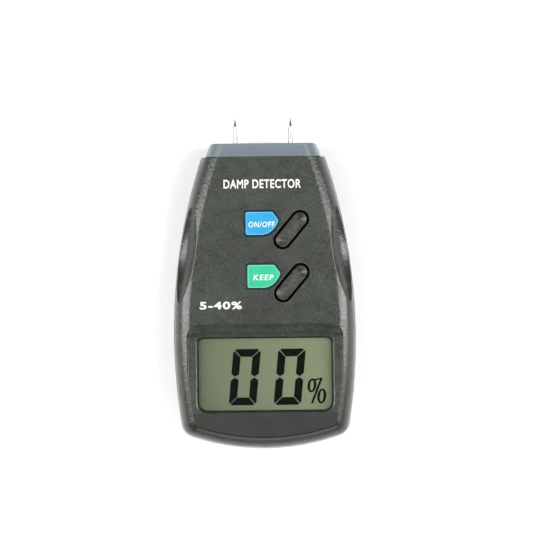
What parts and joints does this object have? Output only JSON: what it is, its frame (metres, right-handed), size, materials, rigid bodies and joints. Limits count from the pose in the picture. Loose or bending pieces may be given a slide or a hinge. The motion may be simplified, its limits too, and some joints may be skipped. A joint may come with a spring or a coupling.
{
  "type": "pin moisture meter",
  "caption": "Handheld pin moisture meter with a tapered dark grey case, segment display, slanted rubber keys, electrode block with pins and a sliding battery door.",
  "frame": {"origin": "centre of the meter's bounding box in plan, at the rear face it lies on", "axes": "+X to the meter's right, +Y along it towards the pins, +Z out of its front face"},
  "size_m": [0.07, 0.1272, 0.0308],
  "materials": {
    "case_abs": "finely spark-textured satin ABS",
    "block_abs": "satin blue-grey ABS",
    "key_silicone": "satin silicone",
    "mat_silicone": "matte silicone",
    "carbon": "conductive carbon rubber",
    "label_blue": "printed gloss polycarbonate",
    "label_green": "printed gloss polycarbonate",
    "window_clear": "clear moulded acrylic",
    "lcd_clear": "polished glass with polariser",
    "lcd_reflector": "grey-green reflective twisted nematic cell",
    "zebra_rubber": "layered silicone",
    "frame_plastic": "natural white moulded plastic",
    "pin_steel": "ground and polished",
    "contact_brass": "turned brass",
    "screw_steel": "zinc-plated",
    "board": "glass-epoxy laminate with solder mask",
    "epoxy": "moulded black epoxy",
    "capacitor_sleeve": "shrunk sleeve",
    "battery_jacket": "plain printed metal jacket",
    "wire_red": "PVC insulation",
    "wire_black": "PVC insulation",
    "wire_white": "PVC insulation"
  },
  "bodies": {
    "meter": {"front_shell": "case_abs", "rear_shell": "case_abs", "electrode_block": "block_abs", "pin_front_left": "pin_steel", "pin_front_right": "pin_steel", "pin_rear_left": "pin_steel", "pin_rear_right": "pin_steel", "pin_socket_front_left": "contact_brass", "pin_socket_front_right": "contact_brass", "pin_socket_rear_left": "contact_brass", "pin_socket_rear_right": "contact_brass", "electrode_strap_left": "contact_brass", "electrode_strap_right": "contact_brass", "electrode_lead_left": "wire_white", "electrode_lead_right": "wire_white", "display_window": "window_clear", "lcd_front_glass": "lcd_clear", "lcd_rear_glass": "lcd_reflector", "lcd_contact_strip": "zebra_rubber", "lcd_frame": "frame_plastic", "power_key_skirt": "mat_silicone", "hold_key_skirt": "mat_silicone", "power_label": "label_blue", "hold_label": "label_green", "keypad_mat": "mat_silicone", "circuit_board": "board", "controller_blob": "epoxy", "amplifier_chip": "epoxy", "regulator_chip": "epoxy", "resistor_1": "epoxy", "resistor_2": "epoxy", "resistor_3": "epoxy", "filter_capacitor": "capacitor_sleeve", "case_screw_lower_left": "screw_steel", "case_screw_lower_right": "screw_steel", "case_screw_upper_left": "screw_steel", "case_screw_upper_right": "screw_steel", "board_screw_lower_left": "screw_steel", "board_screw_lower_right": "screw_steel", "board_screw_upper_left": "screw_steel", "board_screw_upper_right": "screw_steel", "battery": "battery_jacket", "battery_terminal_positive": "screw_steel", "battery_terminal_negative": "screw_steel", "battery_snap": "epoxy", "battery_lead_red": "wire_red", "battery_lead_black": "wire_black"},
    "power_key": {"power_key": "key_silicone", "power_key_pill": "carbon"},
    "hold_key": {"hold_key": "key_silicone", "hold_key_pill": "carbon"},
    "battery_door": {"battery_door": "case_abs"}
  },
  "joints": [
    {"name": "power_key_press", "type": "slide", "parent": "meter", "child": "power_key", "axis": [0, 0, -1], "range_m": [0, 0.0011], "stiffness_N_per_m": 1500, "deforming": ["power_key_skirt"]},
    {"name": "hold_key_press", "type": "slide", "parent": "meter", "child": "hold_key", "axis": [0, 0, -1], "range_m": [0, 0.0011], "stiffness_N_per_m": 1500, "deforming": ["hold_key_skirt"]},
    {"name": "battery_door_slide", "type": "slide", "parent": "meter", "child": "battery_door", "axis": [0, -1, 0], "range_m": [0, 0.056]}
  ]
}
